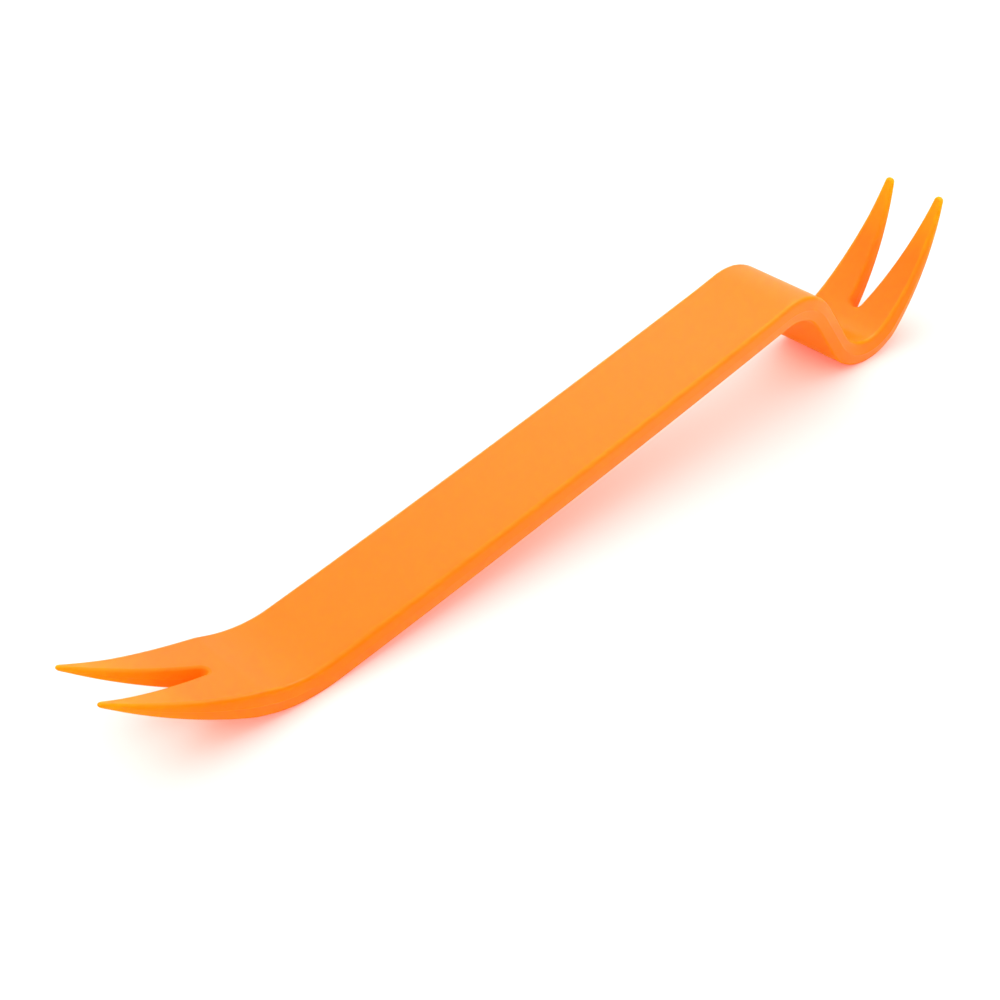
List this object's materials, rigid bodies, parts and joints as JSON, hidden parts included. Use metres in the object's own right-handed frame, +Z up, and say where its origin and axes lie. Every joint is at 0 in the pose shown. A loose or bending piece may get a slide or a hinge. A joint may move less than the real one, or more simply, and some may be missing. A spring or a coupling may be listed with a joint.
{
  "type": "trim removal tool",
  "caption": "Moulded plastic pry bar for lifting trim clips: a flat bar with a shallow upturned fork at one end and a hooked fork after an S-bend at the other.",
  "frame": {"origin": "centre of the underside of the bounding box, on the surface that the tool lies on", "axes": "+X along the tool from the shallow fork to the hooked fork, +Y across the width, +Z up, in the pose in which the tool comes to rest"},
  "size_m": [0.1964, 0.0182, 0.0262],
  "materials": {
    "body_plastic": "satin"
  },
  "bodies": {
    "root": {"tool_body": "body_plastic"}
  },
  "joints": []
}
